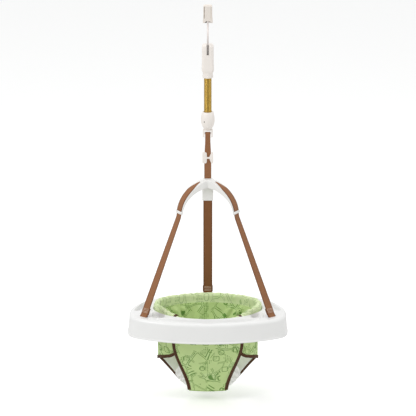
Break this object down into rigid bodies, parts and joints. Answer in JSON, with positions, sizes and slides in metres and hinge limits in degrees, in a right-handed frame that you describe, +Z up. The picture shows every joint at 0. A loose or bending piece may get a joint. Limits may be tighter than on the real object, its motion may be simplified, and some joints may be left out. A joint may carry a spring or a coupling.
{
  "type": "baby bouncer",
  "caption": "Door-hung baby bouncer: door clamp, bounce spring, webbing, three-arm spreader, tray and fabric seat.",
  "frame": {"origin": "between the clamp's two pads, at the level of their undersides", "axes": "+Z up, -Y the seat's front, +X to the right seen from the front"},
  "size_m": [0.5374, 0.3938, 1.34],
  "materials": {
    "white_plastic": "satin moulded",
    "tray_plastic": "satin moulded",
    "pad_rubber": "matt",
    "zinc_steel": "zinc plated",
    "zinc_yellow_steel": "yellow zinc plated",
    "brown_webbing": "woven",
    "green_fabric": "woven cotton",
    "brown_binding": "woven tape",
    "pale_lining": "woven"
  },
  "bodies": {
    "clamp": {"housing_front": "white_plastic", "housing_rear": "white_plastic", "left_housing_screw": "zinc_steel", "right_housing_screw": "zinc_steel", "front_pivot_pin": "zinc_steel", "rear_pivot_pin": "zinc_steel", "spring_collar": "white_plastic", "upper_spring_pin": "zinc_steel", "bounce_spring": "zinc_yellow_steel", "safety_strap": "brown_webbing"},
    "front_jaw": {"front_pad": "pad_rubber", "front_arm": "zinc_steel", "front_jaw_spring": "zinc_steel"},
    "rear_jaw": {"rear_pad": "pad_rubber", "rear_arm": "zinc_steel", "rear_jaw_spring": "zinc_steel"},
    "spring_cap": {"spring_cap_front": "white_plastic", "spring_cap_rear": "white_plastic", "left_cap_screw": "zinc_steel", "right_cap_screw": "zinc_steel", "lower_spring_pin": "zinc_steel"},
    "hanger_fork": {"hanger": "white_plastic", "hanger_bar": "white_plastic"},
    "upper_strap": {"adjuster_strap": "brown_webbing"},
    "slide": {"slide_buckle": "white_plastic"},
    "carrier": {"spreader": "white_plastic", "left_strap": "brown_webbing", "right_strap": "brown_webbing", "back_strap": "brown_webbing", "left_anchor_bar": "zinc_steel", "right_anchor_bar": "zinc_steel", "back_anchor_bar": "zinc_steel", "tray": "tray_plastic", "seat_collar": "green_fabric", "seat_hoop": "white_plastic", "seat_front_panel": "green_fabric", "seat_back_panel": "green_fabric", "seat_left_side": "green_fabric", "seat_right_side": "green_fabric", "seat_base_panel": "green_fabric", "left_front_binding": "brown_binding", "right_front_binding": "brown_binding", "seat_lining": "pale_lining"}
  },
  "joints": [
    {"name": "front_jaw_open", "type": "hinge", "parent": "clamp", "child": "front_jaw", "pos_m": [0, -0.008, -0.118], "axis": [1, 0, 0], "range_deg": [0, 22], "stiffness_Nm_per_rad": 3, "springref_deg": -17.19},
    {"name": "rear_jaw_open", "type": "hinge", "parent": "clamp", "child": "rear_jaw", "pos_m": [0, 0.008, -0.118], "axis": [-1, 0, 0], "range_deg": [0, 22], "stiffness_Nm_per_rad": 3, "springref_deg": -17.19},
    {"name": "bounce", "type": "slide", "parent": "clamp", "child": "spring_cap", "axis": [0, 0, -1], "range_m": [0, 0.13], "stiffness_N_per_m": 900, "springref_m": -0.067, "deforming": ["bounce_spring", "safety_strap"]},
    {"name": "swivel", "type": "hinge", "parent": "spring_cap", "child": "hanger_fork", "pos_m": [0, 0, -0.36], "axis": [0, 0, 1], "continuous": true},
    {"name": "swing", "type": "hinge", "parent": "hanger_fork", "child": "upper_strap", "pos_m": [0, 0, -0.3849], "axis": [1, 0, 0], "range_deg": [-25, 25]},
    {"name": "height_adjust", "type": "slide", "parent": "upper_strap", "child": "carrier", "axis": [0, 0, -1], "range_m": [-0.025, 0.04], "deforming": ["adjuster_strap"]},
    {"name": "slide_travel", "type": "slide", "parent": "upper_strap", "child": "slide", "axis": [0, 0, 1], "range_m": [-0.025, 0.04]}
  ],
  "couplings": [
    {"joint": "slide_travel", "follows": "height_adjust", "ratio": 1}
  ]
}
